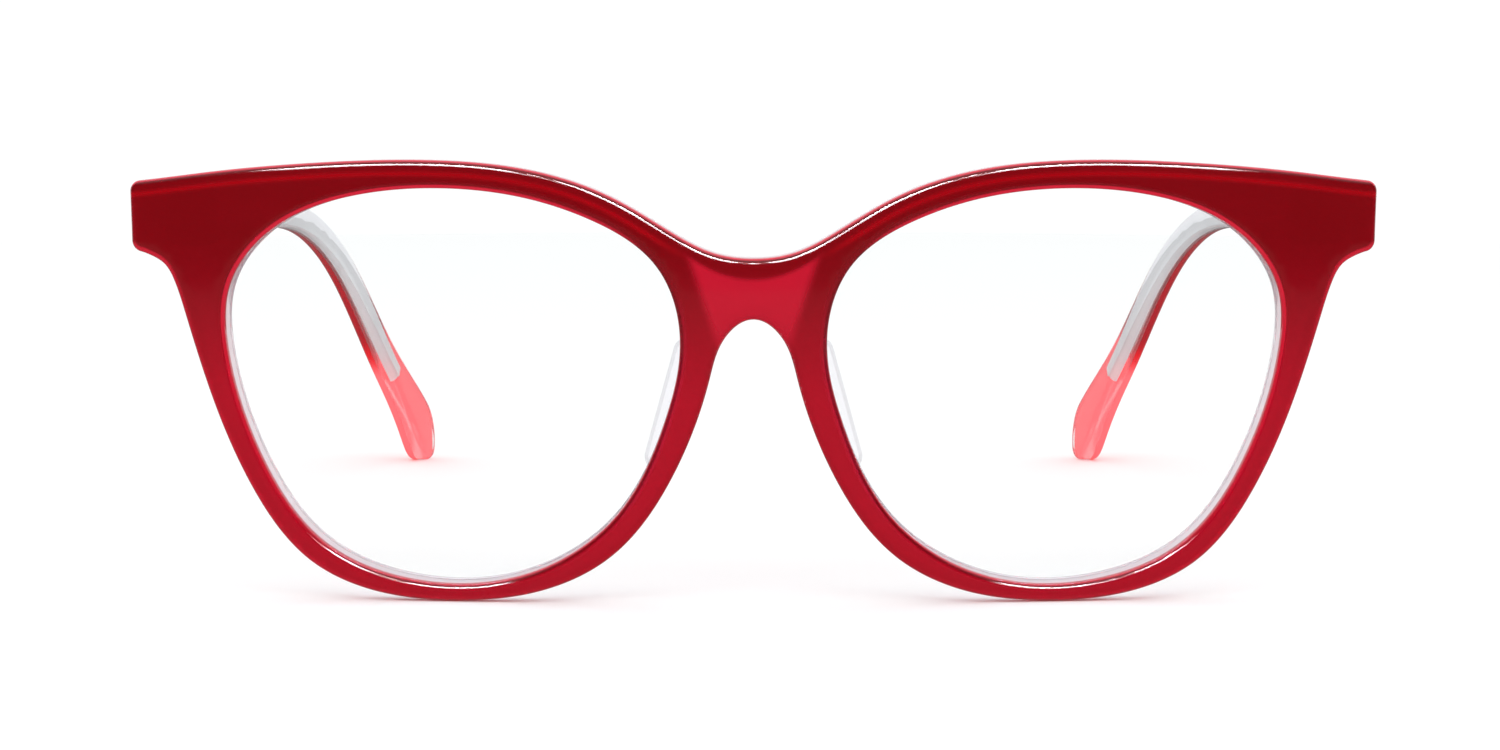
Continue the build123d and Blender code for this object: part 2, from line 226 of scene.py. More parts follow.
def between(outer, holes, points):
    """Which points lie inside the outer loop and outside every hole."""
    keep = inside(outer, points)
    for hole in holes:
        keep &= ~inside(hole, points)
    return keep


# ---- solids built from an outline and an edge profile ----------------------------------------
def quarter(radius, steps=6):
    """(inset, drop) down a rounded edge, from the face to the wall."""
    angles = np.linspace(0, pi / 2, steps + 1)
    return [(radius * (1 - sin(a)), radius * (1 - cos(a))) for a in angles]


def rear_quarter(radius, depth):
    """(inset, depth) along a rounded edge, from the wall to a rear face at this depth."""
    return [(inset, depth - drop) for inset, drop in reversed(quarter(radius))]


class Slab:
    """A closed mesh between two faces. Each loop has a profile of (inset, depth) pairs, and place
    turns flat points and depths into points of the object, in millimetres. Its points carry two
    attributes: opening is 1 round the lens openings, and below_brow is a distance in millimetres."""

    def __init__(self, name, place):
        self.name, self.place = name, place
        self.points, self.faces, self.flat, self.opening = [], [], [], []

    def add_points(self, flat, depth, opening=0.0):
        """Add flat points at a depth, and return their numbers."""
        start = len(self.points)
        self.opening.extend([opening] * len(flat))
        self.flat.extend(flat)
        self.points.extend(self.place(flat, np.full(len(flat), float(depth))))
        return np.arange(start, start + len(flat))

    def walls(self, loop, profile, direction, outer):
        """The rings of one loop's profile. Returns the first and the last ring with its points."""
        rings = []
        for inset, depth in profile:
            flat = loop + direction * inset
            rings.append((self.add_points(flat, depth, 0.0 if outer else 1.0), flat))
        n = len(loop)
        for (a, _), (b, _) in zip(rings, rings[1:]):
            for i in range(n):
                j = (i + 1) % n
                quad = (a[i], b[i], b[j], a[j])
                self.faces.append(quad if outer else quad[::-1])
        return rings[0], rings[-1]

    def cap(self, outer, holes, depth, facing_out):
        """One face, between an outer ring and any hole rings, with a grid of points inside it."""
        rings = [outer] + holes
        flats = [flat for _, flat in rings]
        ids = [ring for ring, _ in rings]
        low, high = flats[0].min(0), flats[0].max(0)
        gx, gy = (np.arange(low[k] + GRID_STEP / 2, high[k], GRID_STEP) for k in range(2))
        grid = np.stack([v.ravel() for v in np.meshgrid(gx, gy)], 1)
        grid = grid[between(flats[0], flats[1:], grid)]
        rim = np.vstack(flats)
        near = np.array([np.min(np.sum((rim - g) ** 2, axis=1)) for g in grid])
        grid = grid[near > (GRID_MARGIN * GRID_STEP) ** 2]
        index = np.concatenate(ids + [self.add_points(grid, depth)])
        edges = []
        start = 0
        for ring in ids:
            n = len(ring)
            edges += [(start + i, start + (i + 1) % n) for i in range(n)]
            start += n
        flat = [Vector(p) for p in np.vstack([rim, grid])]
        corners, _, faces, sources, _, _ = delaunay_2d_cdt(flat, edges, [], 1, CDT_EPSILON, True)
        centres = np.array([sum((corners[v] for v in f), Vector((0, 0))) / len(f) for f in faces])
        for face, ok in zip(faces, between(flats[0], flats[1:], centres)):
            if ok:
                ring = tuple(index[sources[v][0]] for v in face)
                self.faces.append(ring if facing_out else ring[::-1])

    def build(self):
        """Make the object, in metres."""
        mesh = bpy.data.meshes.new(self.name)
        mesh.from_pydata([tuple(float(c) * MM for c in p) for p in self.points], [], self.faces)
        distances = below_brow(np.array(self.flat))
        for key, values in (("opening", self.opening), ("below_brow", distances)):
            mesh.attributes.new(key, "FLOAT", "POINT").data.foreach_set("value", values)
        mesh.validate()
        mesh.shade_smooth()
        mesh.set_sharp_from_angle(angle=radians(SHARP_ANGLE))
        piece = bpy.data.objects.new(self.name, mesh)
        bpy.context.scene.collection.objects.link(piece)
        return piece


def solid(name, place, loop, direction, profile, holes=(), hole_profile=()):
    """A slab with one outline, and holes that share a profile. A hole's insets count away from it."""
    slab = Slab(name, place)
    near, far = slab.walls(loop, profile, direction, outer=True)
    rims = [slab.walls(hole, hole_profile, -inward(hole), outer=False) for hole in holes]
    slab.cap(near, [rim[0] for rim in rims], profile[0][1], True)
    slab.cap(far, [rim[1] for rim in rims], profile[-1][1], False)
    return slab.build()


# ---- places ----------------------------------------------------------------------------------
lean = radians(FRONT_LEAN)
FRONT_X = np.array((1.0, 0, 0))
FRONT_UP = np.array((0, -sin(lean), cos(lean)))
FRONT_OUT = np.array((0, -cos(lean), -sin(lean)))
FRONT_ORIGIN = np.array((0, FRONT_Y, TANGENT_HEIGHT))
WRAP_CENTRE = FRONT_ORIGIN - WRAP_RADIUS * FRONT_OUT


def on_front(flat, depth):
    """Places on the bent front, from flat outline points and depths below its outer surface."""
    v = flat[:, :1] * FRONT_X + flat[:, 1:] * FRONT_UP + WRAP_RADIUS * FRONT_OUT
    v = v / np.linalg.norm(v, axis=1)[:, None]
    return WRAP_CENTRE + v * (WRAP_RADIUS - depth)[:, None]


slope = radians(TEMPLE_SLOPE)
HINGE = np.array((HINGE_X, HINGE_Y, HINGE_Z))
BACK = np.array((0, cos(slope), -sin(slope)))
UP = np.array((0, sin(slope), cos(slope)))
bend_length = BEND_RADIUS * radians(BEND_ANGLE)


def side_point(distance, height=0.0):
    """Side-view place at a distance along the temple from its butt, and a height off its middle."""
    turned = min(max(distance - BEND_START, 0), bend_length) / BEND_RADIUS
    before = min(distance, BEND_START)
    after = max(distance - BEND_START - bend_length, 0)
    along = before - BUTT_SETBACK + (BEND_RADIUS + height) * sin(turned) + after * cos(turned)
    up = (BEND_RADIUS + height) * cos(turned) - BEND_RADIUS - after * sin(turned)
    return (along, up)


def on_temple(flat, inset):
    """Places on the right temple, from side-view points and insets from its outer face."""
    distance = flat[:, 0] + BUTT_SETBACK
    turned_in = tan(radians(TOE_IN)) * distance + distance**2 / (2 * BOW_RADIUS)
    x = TEMPLE_OUTER_X - HINGE_X - turned_in - inset
    return HINGE + x[:, None] * FRONT_X + flat[:, :1] * BACK + flat[:, 1:] * UP


def mirrored(piece, name):
    """The left-hand copy of a right-hand piece, with its faces turned round again."""
    twin = piece.copy()
    twin.data = piece.data.copy()
    twin.name = twin.data.name = name
    twin.data.transform(Matrix.Scale(-1, 4, Vector((1, 0, 0))))
    twin.data.flip_normals()
    bpy.context.scene.collection.objects.link(twin)
    return twin


def settle(piece, body, node, material):
    """Give a piece its body and its material, and hide the CAD node that it stands for."""
    piece.data.materials.clear()
    piece.data.materials.append(material)
    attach(piece, body)
    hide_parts(node)


# ---- materials -------------------------------------------------------------------------------
ACETATE_IOR = 1.49
WAVE_SCALE = 90.0          # of the faint waves in a polished surface, per metre
WAVE_HEIGHT = 0.0005
SMUDGE_SCALE = 45.0
SMUDGE_RANGE = (0.35, 0.75)
CLOUD_SCALE = 60.0         # of the pigment's clouds


def new_material(name):
    """An empty material and its node tree."""
    material = bpy.data.materials.new(name)
    material.use_nodes = True
    tree = material.node_tree
    tree.nodes.clear()
    return material, tree


def node(tree, kind, **inputs):
    """A new node, with values for its inputs or settings."""
    made = tree.nodes.new(kind)
    for key, value in inputs.items():
        if key in made.inputs:
            made.inputs[key].default_value = value
        else:
            setattr(made, key, value)
    return made


def linear(r, g, b):
    """An sRGB colour, 0 to 255, in the renderer's linear values."""
    channels = [c / 255 for c in (r, g, b)]
    curve = [((c + 0.055) / 1.055) ** 2.4 if c > 0.04045 else c / 12.92 for c in channels]
    return (*curve, 1)


def mirror_ray(tree):
    """1 for a ray that has just been mirrored, and 0 for one that has passed through."""
    path = tree.nodes.new("ShaderNodeLightPath")
    only = node(tree, "ShaderNodeMath", operation="SUBTRACT", use_clamp=True)
    tree.links.new(path.outputs["Is Glossy Ray"], only.inputs[0])
    tree.links.new(path.outputs["Is Transmission Ray"], only.inputs[1])
    return only.outputs["Value"]


def polish(tree, shader, roughness, ripple):
    """The slight unevenness of a hand-polished surface: faint waves, and a roughness in patches."""
    link = tree.links.new
    place = tree.nodes.new("ShaderNodeTexCoord")
    waves = node(tree, "ShaderNodeTexNoise", Scale=WAVE_SCALE, Detail=2.0)
    bump = node(tree, "ShaderNodeBump", Strength=ripple, Distance=WAVE_HEIGHT)
    smudges = node(tree, "ShaderNodeTexNoise", Scale=SMUDGE_SCALE, Detail=3.0)
    patches = node(tree, "ShaderNodeMapRange")
    patches.inputs["From Min"].default_value = SMUDGE_RANGE[0]
    patches.inputs["From Max"].default_value = SMUDGE_RANGE[1]
    patches.inputs["To Min"].default_value = roughness
    patches.inputs["To Max"].default_value = roughness * 2
    link(place.outputs["Object"], waves.inputs["Vector"])
    link(place.outputs["Object"], smudges.inputs["Vector"])
    link(waves.outputs["Fac"], bump.inputs["Height"])
    link(smudges.outputs["Fac"], patches.inputs["Value"])
    link(patches.outputs["Result"], shader.inputs["Roughness"])
    link(bump.outputs["Normal"], shader.inputs["Normal"])


def through(tree, surface, tint):
    """Send the surface to the output, but let shadow rays pass through it, tinted."""
    out = tree.nodes.new("ShaderNodeOutputMaterial")
    see = node(tree, "ShaderNodeBsdfTransparent", Color=tint)
    path = tree.nodes.new("ShaderNodeLightPath")
    shown = mixed(tree, path.outputs["Is Shadow Ray"], surface, see.outputs["BSDF"])
    tree.links.new(shown, out.inputs["Surface"])
    return out


def crystal(tree, roughness, ripple):
    """Polished see-through acetate."""
    glass = node(tree, "ShaderNodeBsdfPrincipled", IOR=ACETATE_IOR)
    glass.inputs["Base Color"].default_value = (1, 1, 1, 1)
    glass.inputs["Transmission Weight"].default_value = 1.0
    polish(tree, glass, roughness, ripple)
    return glass


def clouded_body(tree, colour):
    """The opaque share of red acetate."""
    body = node(tree, "ShaderNodeBsdfPrincipled", IOR=ACETATE_IOR)
    polish(tree, body, roughness=0.05, ripple=0.004)
    tree.links.new(colour, body.inputs["Base Color"])
    return body


def place_and_cloud(tree):
    """The place on the object, split into X, Y and Z, and the pigment's clouds there."""
    place = tree.nodes.new("ShaderNodeTexCoord")
    split = tree.nodes.new("ShaderNodeSeparateXYZ")
    cloud = node(tree, "ShaderNodeTexNoise", Scale=CLOUD_SCALE, Detail=3.0)
    tree.links.new(place.outputs["Object"], split.inputs["Vector"])
    tree.links.new(place.outputs["Object"], cloud.inputs["Vector"])
    return split.outputs, cloud.outputs["Fac"]


def mixed(tree, factor, first, second):
    """Two shaders, mixed by a factor that is a socket or a number."""
    blend = tree.nodes.new("ShaderNodeMixShader")
    if isinstance(factor, bpy.types.NodeSocket):
        tree.links.new(factor, blend.inputs["Fac"])
    else:
        blend.inputs["Fac"].default_value = factor
    tree.links.new(first, blend.inputs[1])
    tree.links.new(second, blend.inputs[2])
    return blend.outputs["Shader"]


def absorbing(tree, out, colour, density):
    """Let the solid absorb light with depth, per metre."""
    absorb = node(tree, "ShaderNodeVolumeAbsorption", Color=colour, Density=density)
    tree.links.new(absorb.outputs["Volume"], out.inputs["Volume"])


CLEAR_MILK = linear(250, 247, 252)
CLEAR_SHADOW = linear(245, 243, 248)
CLEAR_VOLUME = linear(232, 226, 240)
CLEAR_DENSITY = 12.0


def clear_solid(name, milkiness):
    """Crystal acetate, of which a small share scatters light as the clouds in cast sheet do."""
    material, tree = new_material(name)
    glass = crystal(tree, roughness=0.01, ripple=0.02)
    milk = node(tree, "ShaderNodeBsdfDiffuse", Color=CLEAR_MILK)
    surface = mixed(tree, milkiness, glass.outputs["BSDF"], milk.outputs["BSDF"])
    out = through(tree, surface, CLEAR_SHADOW)
    absorbing(tree, out, CLEAR_VOLUME, CLEAR_DENSITY)
    return material


def ramp(tree, value, low, high, start=0.0, end=1.0):
    """A smooth step of a value: start at low, end at high."""
    step = node(tree, "ShaderNodeMapRange", interpolation_type="SMOOTHSTEP")
    for key, number in (("From Min", low), ("From Max", high), ("To Min", start), ("To Max", end)):
        step.inputs[key].default_value = number
    tree.links.new(value, step.inputs["Value"])
    return step.outputs["Result"]


def sums(tree, operation, first, second, third=None):
    """One step of arithmetic on sockets and numbers."""
    step = node(tree, "ShaderNodeMath", operation=operation)
    for slot, value in enumerate((first, second, third)):
        if isinstance(value, bpy.types.NodeSocket):
            tree.links.new(value, step.inputs[slot])
        elif value is not None:
            step.inputs[slot].default_value = value
    return step.outputs["Value"]


def mix_colour(tree, factor, first, second):
    """Two colours, each a socket or a value, mixed by a factor socket."""
    mix = tree.nodes.new("ShaderNodeMix")
    mix.data_type = "RGBA"
    tree.links.new(factor, mix.inputs["Factor"])
    for key, value in (("A", first), ("B", second)):
        if isinstance(value, bpy.types.NodeSocket):
            tree.links.new(value, mix.inputs[key])
        else:
            mix.inputs[key].default_value = value
    return mix.outputs["Result"]


# the front's red, by place, with painted light and shade: in millimetres, with heights above the
# table
BROW_SHADED_RED = linear(117, 0, 6)
RIM_LIT_RED = linear(182, 4, 34)
RIM_LIT_HEIGHTS = (41.0, 20.0)           # the heights between which the brow's red turns to the rims'
FRONT_CLOUD = 0.12
# painted light: the bridge's saddle is painted paler, where light passes through it
SADDLE_LIT_RED = linear(198, 20, 46)
SADDLE_HALF_WIDTH = 6.4            # the bridge's pale saddle, at its top
SADDLE_TOP = 36.8
SADDLE_TAPER = 0.32
SADDLE_ARCH = 49.0                 # how its top edge rises sideways, in metres per square metre
SADDLE_BLUR = 0.8
SADDLE_TOP_BLUR = (0.4, 0.5)       # above and below its top edge
PIPED_RED = linear(158, 0, 12)
PIPED_FROM = (1.05, 1.5)           # the paler line's two edges, below the top edge
PIPED_TO = (2.1, 1.6)
PIPED_ENDS = (6.0, 12.0)           # it fades out towards the bridge
# painted light: rounded edges facing the table, or the nose in a lens opening, are painted brighter,
# as light from below passes through them
GLOW_RED = linear(222, 30, 56)
OUTLINE_GLOW = 0.55                # of the outer edges, against the lens openings'
OUTLINE_GLOW_FADES = (30.0, 12.0)  # towards the bridge
END_GLOW = 0.8                     # of the underside of the end pieces
END_GLOW_STARTS = (56.0, 62.0)     # outwards from the middle
END_GLOW_HEIGHTS = (22.0, 34.0)
SHADE_RED = linear(105, 0, 10)
# painted reflection: the top wall, seen at a grazing angle, is painted pink for the pale backdrop it
# mirrors
WALL_SHEEN_RED = linear(225, 60, 80)
CLEARS = (40.0, 24.0)              # the heights between which the red gets clearer
FRONT_CLEARNESS = (0.22, 0.42)     # at the brow, and down the rims
FRONT_SHADOW = linear(225, 60, 80)
FRONT_ABSORBS = (0.911, 0.0, 0.33, 1)
FRONT_DENSITY = 2900.0
# which way a surface faces: the parts of its normal between which each look comes in
ROUNDED = (-0.998, -0.88)          # back, from a flat face to a rounded edge
NOT_WALL = (-0.5, -0.75)
WALL = (-0.75, -0.45)
TOP_WALL = (0.3, 0.6)              # upwards
LIT = (0.1, -0.35)                 # down, or towards the nose in a lens opening
UNLIT = (0.1, 0.5)
UPWARDS_SHARE = 0.9                # of up against outwards in the last two


def in_metres(lengths):
    """Lengths in metres, from millimetres."""
    return [length * MM for length in lengths]


def saddle_light_mask(tree, across, height):
    """1 in the saddle of painted light, which narrows downwards between the nose pads under an arched
    top.
    """
    edge = (SADDLE_HALF_WIDTH - SADDLE_TAPER * SADDLE_TOP) * MM
    beside = sums(tree, "MULTIPLY_ADD", height, -SADDLE_TAPER, across)
    saddle = ramp(tree, beside, edge + SADDLE_BLUR * MM, edge - SADDLE_BLUR * MM)
    squared = sums(tree, "MULTIPLY", across, across)
    arched = sums(tree, "MULTIPLY_ADD", squared, -SADDLE_ARCH, height)
    above, below = SADDLE_TOP_BLUR
    under_arch = ramp(tree, arched, (SADDLE_TOP + above) * MM, (SADDLE_TOP - below) * MM)
    return sums(tree, "MULTIPLY", saddle, under_arch)


def piped_mask(tree, across):
    """1 on the paler line below the brow, which is light piped through the sheet."""
    below = node(tree, "ShaderNodeAttribute", attribute_name="below_brow").outputs["Fac"]
    line = sums(tree, "MULTIPLY", ramp(tree, below, *PIPED_FROM), ramp(tree, below, *PIPED_TO))
    return sums(tree, "MULTIPLY", line, ramp(tree, across, *in_metres(PIPED_ENDS)))


def edge_masks(tree, x, across, height):
    """How far a place glows with painted light, is in painted shade, or carries a painted reflection
    on the wall of the top edge, by where it faces.
    """
    surface = tree.nodes.new("ShaderNodeNewGeometry")
    facing = tree.nodes.new("ShaderNodeSeparateXYZ")
    tree.links.new(surface.outputs["Normal"], facing.inputs["Vector"])
    sideways, back, up = (facing.outputs[key] for key in "XYZ")
    opening = node(tree, "ShaderNodeAttribute", attribute_name="opening").outputs["Fac"]
    outwards = sums(tree, "MULTIPLY", sums(tree, "SIGN", x, None), sideways)
    outwards = sums(tree, "MULTIPLY", outwards, opening)
    towards = sums(tree, "MULTIPLY_ADD", up, UPWARDS_SHARE, outwards)
    rounded = ramp(tree, back, *ROUNDED)
    glow = sums(tree, "MULTIPLY", rounded, ramp(tree, towards, *LIT))

    outline_glow = ramp(tree, across, *in_metres(OUTLINE_GLOW_FADES), OUTLINE_GLOW, 0.0)
    at_end = ramp(tree, across, *in_metres(END_GLOW_STARTS))
    end_glow = ramp(tree, height, *in_metres(END_GLOW_HEIGHTS), 0.0, END_GLOW)
    end_glow = sums(tree, "MULTIPLY", at_end, end_glow)
    lit_edges = sums(tree, "MAXIMUM", sums(tree, "MAXIMUM", opening, outline_glow), end_glow)
    glow = sums(tree, "MULTIPLY", glow, lit_edges)
    shade = sums(tree, "MULTIPLY", rounded, ramp(tree, back, *NOT_WALL))
    shade = sums(tree, "MULTIPLY", shade, ramp(tree, towards, *UNLIT))
    wall = sums(tree, "MULTIPLY", ramp(tree, back, *WALL), ramp(tree, up, *TOP_WALL))
    return glow, shade, wall


def front_red_material():
    """Red acetate clouded by its pigment. Painted shade deepens it along the brow, painted light
    pales it down the rims and in the saddle of the bridge, and painted light glows where its rounded
    edges face the table or the nose; other edges carry painted shade and a painted reflection."""
    material, tree = new_material("red_acetate")
    place, cloud = place_and_cloud(tree)
    across = sums(tree, "ABSOLUTE", place["X"], None)
    height = place["Z"]
    # painted light and shade: the brow is darker and the rims paler by height above the table, which
    # lights them from below; the pigment's clouds are real
    lower = ramp(tree, height, *in_metres(RIM_LIT_HEIGHTS))
    lower = sums(tree, "MULTIPLY_ADD", cloud, FRONT_CLOUD, lower)
    colour = mix_colour(tree, lower, BROW_SHADED_RED, RIM_LIT_RED)
    # painted light in the bridge's saddle
    colour = mix_colour(tree, saddle_light_mask(tree, across, height), colour, SADDLE_LIT_RED)
    colour = mix_colour(tree, piped_mask(tree, across), colour, PIPED_RED)
    glow, shade, wall = edge_masks(tree, place["X"], across, height)
    # painted light on rounded edges facing the table or the nose, then painted shade on those facing
    # up
    colour = mix_colour(tree, glow, colour, GLOW_RED)
    colour = mix_colour(tree, shade, colour, SHADE_RED)
    # painted reflection on the top wall
    colour = mix_colour(tree, wall, colour, WALL_SHEEN_RED)

    body = clouded_body(tree, colour)
    glass = crystal(tree, roughness=0.02, ripple=0.004)
    clearness = ramp(tree, height, *in_metres(CLEARS), *FRONT_CLEARNESS)
    surface = mixed(tree, clearness, body.outputs["BSDF"], glass.outputs["BSDF"])
    out = through(tree, surface, FRONT_SHADOW)
    absorbing(tree, out, FRONT_ABSORBS, FRONT_DENSITY)
    return material


# the temples' red
TEMPLE_RED_COLOUR = linear(196, 16, 36)
TIP_SALMON = linear(255, 106, 112)
TIP_PALES = (49.0, 54.0)           # where along Y the red turns to salmon, in millimetres
TEMPLE_CLOUD = 0.08
TEMPLE_CLEARNESS = (0.45, 0.1)     # of the temple and of its tip
TIP_LIGHT = 0.35
TEMPLE_SHADOW = linear(240, 120, 130)
TEMPLE_ABSORBS = (0.985, 0.0, 0.08, 1)
TEMPLE_DENSITY = 1500.0


def temple_red_material():
    """Thinner red acetate, which is clouded as well and pales to salmon at the flat tip, which also
    glows with painted light.
    """
    material, tree = new_material("temple_red_acetate")
    place, cloud = place_and_cloud(tree)
    pales = in_metres(TIP_PALES)
    tip = sums(tree, "MULTIPLY_ADD", cloud, TEMPLE_CLOUD, ramp(tree, place["Y"], *pales))
    colour = mix_colour(tree, tip, TEMPLE_RED_COLOUR, TIP_SALMON)
    body = clouded_body(tree, colour)
    # painted light: an emission on the thin tip stands in for the light from behind that it passes on
    tree.links.new(colour, body.inputs["Emission Color"])
    tree.links.new(ramp(tree, place["Y"], *pales, 0.0, TIP_LIGHT), body.inputs["Emission Strength"])
    glass = crystal(tree, roughness=0.02, ripple=0.004)
    clearness = ramp(tree, place["Y"], *pales, *TEMPLE_CLEARNESS)
    surface = mixed(tree, clearness, body.outputs["BSDF"], glass.outputs["BSDF"])
    out = through(tree, surface, TEMPLE_SHADOW)
    absorbing(tree, out, TEMPLE_ABSORBS, TEMPLE_DENSITY)
    return material


PAD_TINT = linear(250, 249, 251)
PAD_SHADOW = linear(248, 247, 250)
PAD_PLAIN_SHARE = 0.8              # of a pad that doesn't bend the view


def moulded_pad():
    """Clear acetate so even that it hardly shows against a pale ground."""
    material, tree = new_material("pad_acetate")
    glass = crystal(tree, roughness=0.02, ripple=0.01)
    see = node(tree, "ShaderNodeBsdfTransparent", Color=PAD_TINT)
    surface = mixed(tree, PAD_PLAIN_SHARE, glass.outputs["BSDF"], see.outputs["BSDF"])
    through(tree, surface, PAD_SHADOW)
    return material


LENS_TINT = linear(254, 255, 255)
COATING_BLUE = linear(190, 205, 235)
COATING_SHARE = 0.2                # of a bare lens's reflection
LENS_IOR = 1.5


def coated_lens():
    """A thin lens with an anti-reflection coating: the view passes straight through it."""
    material, tree = new_material("lens")
    see = node(tree, "ShaderNodeBsdfTransparent", Color=LENS_TINT)
    shine = node(tree, "ShaderNodeBsdfGlossy", Color=COATING_BLUE)
    polish(tree, shine, roughness=0.01, ripple=0.0)
    edge_on = node(tree, "ShaderNodeFresnel", IOR=LENS_IOR)
    coating = sums(tree, "MULTIPLY", edge_on.outputs["Fac"], COATING_SHARE)
    out = tree.nodes.new("ShaderNodeOutputMaterial")
    surface = mixed(tree, coating, see.outputs["BSDF"], shine.outputs["BSDF"])
    tree.links.new(surface, out.inputs["Surface"])
    return material


DRAWING_SCALE = 900.0
DRAWING_DEPTH = 0.0001
DRAWING_STRENGTH = 0.15
DRAWING_ROUGHNESS = (0.7, 1.4)     # from the smoothest line to the roughest


def metal(name, colour, roughness, stretch, satin):
    """Metal with fine lines, drawn out along its length by the stretch. The satin share of it
    scatters light."""
    material, tree = new_material(name)
    link = tree.links.new
    shader = node(tree, "ShaderNodeBsdfPrincipled", Metallic=1.0)
    shader.inputs["Base Color"].default_value = colour
    dull = node(tree, "ShaderNodeBsdfDiffuse", Color=colour, Roughness=0.6)
    place = tree.nodes.new("ShaderNodeTexCoord")
    mapping = tree.nodes.new("ShaderNodeMapping")
    mapping.inputs["Scale"].default_value = stretch
    lines = node(tree, "ShaderNodeTexNoise", Scale=DRAWING_SCALE, Detail=4.0)
    rough = node(tree, "ShaderNodeMapRange")
    rough.inputs["To Min"].default_value = roughness * DRAWING_ROUGHNESS[0]
    rough.inputs["To Max"].default_value = roughness * DRAWING_ROUGHNESS[1]
    bump = node(tree, "ShaderNodeBump", Strength=DRAWING_STRENGTH, Distance=DRAWING_DEPTH)
    link(place.outputs["Object"], mapping.inputs["Vector"])
    link(mapping.outputs["Vector"], lines.inputs["Vector"])
    link(lines.outputs["Fac"], rough.inputs["Value"])
    link(lines.outputs["Fac"], bump.inputs["Height"])
    link(rough.outputs["Result"], shader.inputs["Roughness"])
    link(bump.outputs["Normal"], shader.inputs["Normal"])
    link(bump.outputs["Normal"], dull.inputs["Normal"])
    out = tree.nodes.new("ShaderNodeOutputMaterial")
    surface = mixed(tree, satin, shader.outputs["BSDF"], dull.outputs["BSDF"])
    link(surface, out.inputs["Surface"])
    return material


FRONT_RED_MATERIAL = front_red_material()
TEMPLE_RED_MATERIAL = temple_red_material()
FRONT_CLEAR_MATERIAL = clear_solid("clear_acetate", milkiness=0.35)
TEMPLE_CLEAR_MATERIAL = clear_solid("temple_clear_acetate", milkiness=0.06)
PAD_MATERIAL = moulded_pad()
LENS_MATERIAL = coated_lens()
HINGE_METAL = metal(
    "hinge_metal", linear(205, 203, 200), roughness=0.3, stretch=(1, 0.2, 1), satin=0.55
)
CORE_METAL = metal(
    "core_metal", linear(251, 253, 254), roughness=0.35, stretch=(1, 0.05, 1), satin=0.9
)
SCREW_METAL = metal(
    "screw_steel", linear(190, 190, 195), roughness=0.25, stretch=(1, 1, 1), satin=0.3
)

# ---- the front -------------------------------------------------------------------------------
outline = front_outline()
lens_edge = lens_loop()
lens_edges = [lens_edge, (lens_edge * (-1, 1))[::-1]]
lens_back = LENS_DEPTH + LENS_THICKNESS
front_red = solid(
    "front_red", on_front, outline, inward(outline),
    quarter(FRONT_ROUNDING) + [(0, RED_THICKNESS + LAP)],
    lens_edges,
    quarter(RIM_ROUNDING) + [
        (0, LENS_DEPTH - LAP), (GROOVE_DEPTH, LENS_DEPTH - LAP), (GROOVE_DEPTH, RED_THICKNESS + LAP),
    ],
)
settle(front_red, "front", "front_red_layer", FRONT_RED_MATERIAL)

front_clear = solid(
    "front_clear", on_front, outline, inward(outline),
    [(0, RED_THICKNESS - LAP)] + rear_quarter(BACK_ROUNDING, FRONT_THICKNESS),
    lens_edges,
    [(GROOVE_DEPTH, RED_THICKNESS - LAP), (GROOVE_DEPTH, lens_back + LAP), (0, lens_back + LAP)]
    + rear_quarter(RIM_ROUNDING, FRONT_THICKNESS),
)
settle(front_clear, "front", "front_clear_layer", FRONT_CLEAR_MATERIAL)

# ---- lenses: bevelled at their edges, and seated in the grooves ------------------------------
lens_inset = LENS_GAP - GROOVE_DEPTH
right_lens = solid(
    "lens_glass_right", on_front, lens_edge, inward(lens_edge),
    [
        (lens_inset + LENS_BEVEL, LENS_DEPTH + LAP), (lens_inset, LENS_DEPTH + LENS_BEVEL),
        (lens_inset, lens_back - LENS_BEVEL), (lens_inset + LENS_BEVEL, lens_back - LAP),
    ],
)
settle(right_lens, "front", "right_lens", LENS_MATERIAL)
left_lens = mirrored(right_lens, "lens_glass_left")
settle(left_lens, "front", "left_lens", LENS_MATERIAL)


# ---- temples ---------------------------------------------------------------------------------
def temple_outline():
    """Side view of the right temple, anticlockwise, and which points are on its butt."""
    knots = [side_point(d, h / 2) for d, h in TEMPLE_HEIGHTS]
    knots += [side_point(TEMPLE_LENGTH + d, h) for d, h in TIP_SHAPE]
    knots += [side_point(d, -h / 2) for d, h in reversed(TEMPLE_HEIGHTS)]
    edge = resample(cubic(knots), OUTLINE_STEP)
    butt = resample(np.array([edge[-1], edge[0]]), OUTLINE_STEP)[1:-1]
    loop = np.vstack([edge, butt])
    on_butt = np.zeros(len(loop), bool)
    on_butt[len(edge) - 1:] = True
    on_butt[0] = True
    return loop[::-1], on_butt[::-1]


# the butt is rounded neither in nor out, and its two corners move only up and down
temple_loop, on_butt = temple_outline()
temple_in = inward(temple_loop)
temple_in[on_butt] = 0
at_corner = np.abs(temple_loop[:, 1]) > TEMPLE_HEIGHTS[0][1] / 2 - TINY
for corner in np.flatnonzero(on_butt & at_corner):
    temple_in[corner] = (0, -np.sign(temple_loop[corner, 1]))


def butted(flat, inset):
    """Places on the temple, with the butt shaped to the back of the front."""
    points = on_temple(flat, inset)
    at_butt = flat[:, 0] < -BUTT_SETBACK + TINY
    radius = WRAP_RADIUS - FRONT_THICKNESS - BUTT_GAP
    for i in np.flatnonzero(at_butt):
        away = points[i] - WRAP_CENTRE
        along = float(np.dot(away, BACK))
        points[i] -= BACK * (along + (along**2 - np.dot(away, away) + radius**2) ** 0.5)
    return points


